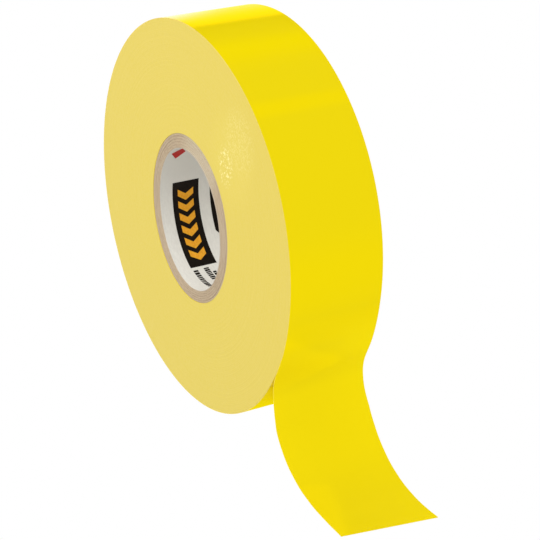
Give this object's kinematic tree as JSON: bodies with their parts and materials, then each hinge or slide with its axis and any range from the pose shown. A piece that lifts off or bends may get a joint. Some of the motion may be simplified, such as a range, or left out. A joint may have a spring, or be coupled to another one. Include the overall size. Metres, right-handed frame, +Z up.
{
  "type": "electrical tape roll",
  "caption": "Roll of yellow vinyl electrical tape wound on a paperboard core with a printed paper liner, its free end peeled off the rim and curling outward.",
  "frame": {"origin": "centre of the core's bore, half-way across the tape's width", "axes": "+Y along the roll's axis, +Z up, +X to the side where the tail leaves the rim; the tape winds clockwise seen from -Y"},
  "size_m": [0.0949, 0.019, 0.0788],
  "materials": {
    "label_paper": "smooth coated paper",
    "core_board": "cut paperboard",
    "tape_edges": "satin, fine concentric lines",
    "vinyl_film": "gloss",
    "adhesive": "tacky satin"
  },
  "bodies": {
    "roll": {"core_label": "label_paper", "core_ply_1": "core_board", "core_ply_2": "core_board", "core_ply_3": "core_board", "core_ply_4": "core_board", "core_ply_5": "core_board", "wound_tape": "tape_edges"},
    "outer_turn": {"outer_turn_film": "vinyl_film", "outer_turn_adhesive": "adhesive"},
    "tail_1": {"tail_film_1": "vinyl_film", "tail_adhesive_1": "adhesive"},
    "tail_2": {"tail_film_2": "vinyl_film", "tail_adhesive_2": "adhesive"},
    "tail_3": {"tail_film_3": "vinyl_film", "tail_adhesive_3": "adhesive"},
    "tail_4": {"tail_film_4": "vinyl_film", "tail_adhesive_4": "adhesive"},
    "tail_5": {"tail_film_5": "vinyl_film", "tail_adhesive_5": "adhesive"},
    "tail_6": {"tail_film_6": "vinyl_film", "tail_adhesive_6": "adhesive"},
    "tail_7": {"tail_film_7": "vinyl_film", "tail_adhesive_7": "adhesive"}
  },
  "joints": [
    {"name": "unwind", "type": "hinge", "parent": "roll", "child": "outer_turn", "pos_m": [0, 0, 0], "axis": [0, 1, 0], "continuous": true},
    {"name": "tail_peel", "type": "hinge", "parent": "outer_turn", "child": "tail_1", "pos_m": [0.03207, 0, -0.02043], "axis": [0, -1, 0], "range_deg": [-25, 60]},
    {"name": "tail_curl", "type": "hinge", "parent": "tail_1", "child": "tail_2", "pos_m": [0.03267, 0, -0.02554], "axis": [0, -1, 0], "range_deg": [-15, 15]},
    {"name": "tail_curl_2", "type": "hinge", "parent": "tail_2", "child": "tail_3", "pos_m": [0.0346, 0, -0.0303], "axis": [0, -1, 0], "range_deg": [-15, 15]},
    {"name": "tail_curl_3", "type": "hinge", "parent": "tail_3", "child": "tail_4", "pos_m": [0.03773, 0, -0.03438], "axis": [0, -1, 0], "range_deg": [-15, 15]},
    {"name": "tail_curl_4", "type": "hinge", "parent": "tail_4", "child": "tail_5", "pos_m": [0.04184, 0, -0.03748], "axis": [0, -1, 0], "range_deg": [-15, 15]},
    {"name": "tail_curl_5", "type": "hinge", "parent": "tail_5", "child": "tail_6", "pos_m": [0.04661, 0, -0.03938], "axis": [0, -1, 0], "range_deg": [-15, 15]},
    {"name": "tail_curl_6", "type": "hinge", "parent": "tail_6", "child": "tail_7", "pos_m": [0.05168, 0, -0.0403], "axis": [0, -1, 0], "range_deg": [-15, 15]}
  ],
  "couplings": [
    {"joint": "tail_curl_2", "follows": "tail_curl", "ratio": 1},
    {"joint": "tail_curl_3", "follows": "tail_curl", "ratio": 1},
    {"joint": "tail_curl_4", "follows": "tail_curl", "ratio": 1},
    {"joint": "tail_curl_5", "follows": "tail_curl", "ratio": 1},
    {"joint": "tail_curl_6", "follows": "tail_curl", "ratio": 1}
  ]
}
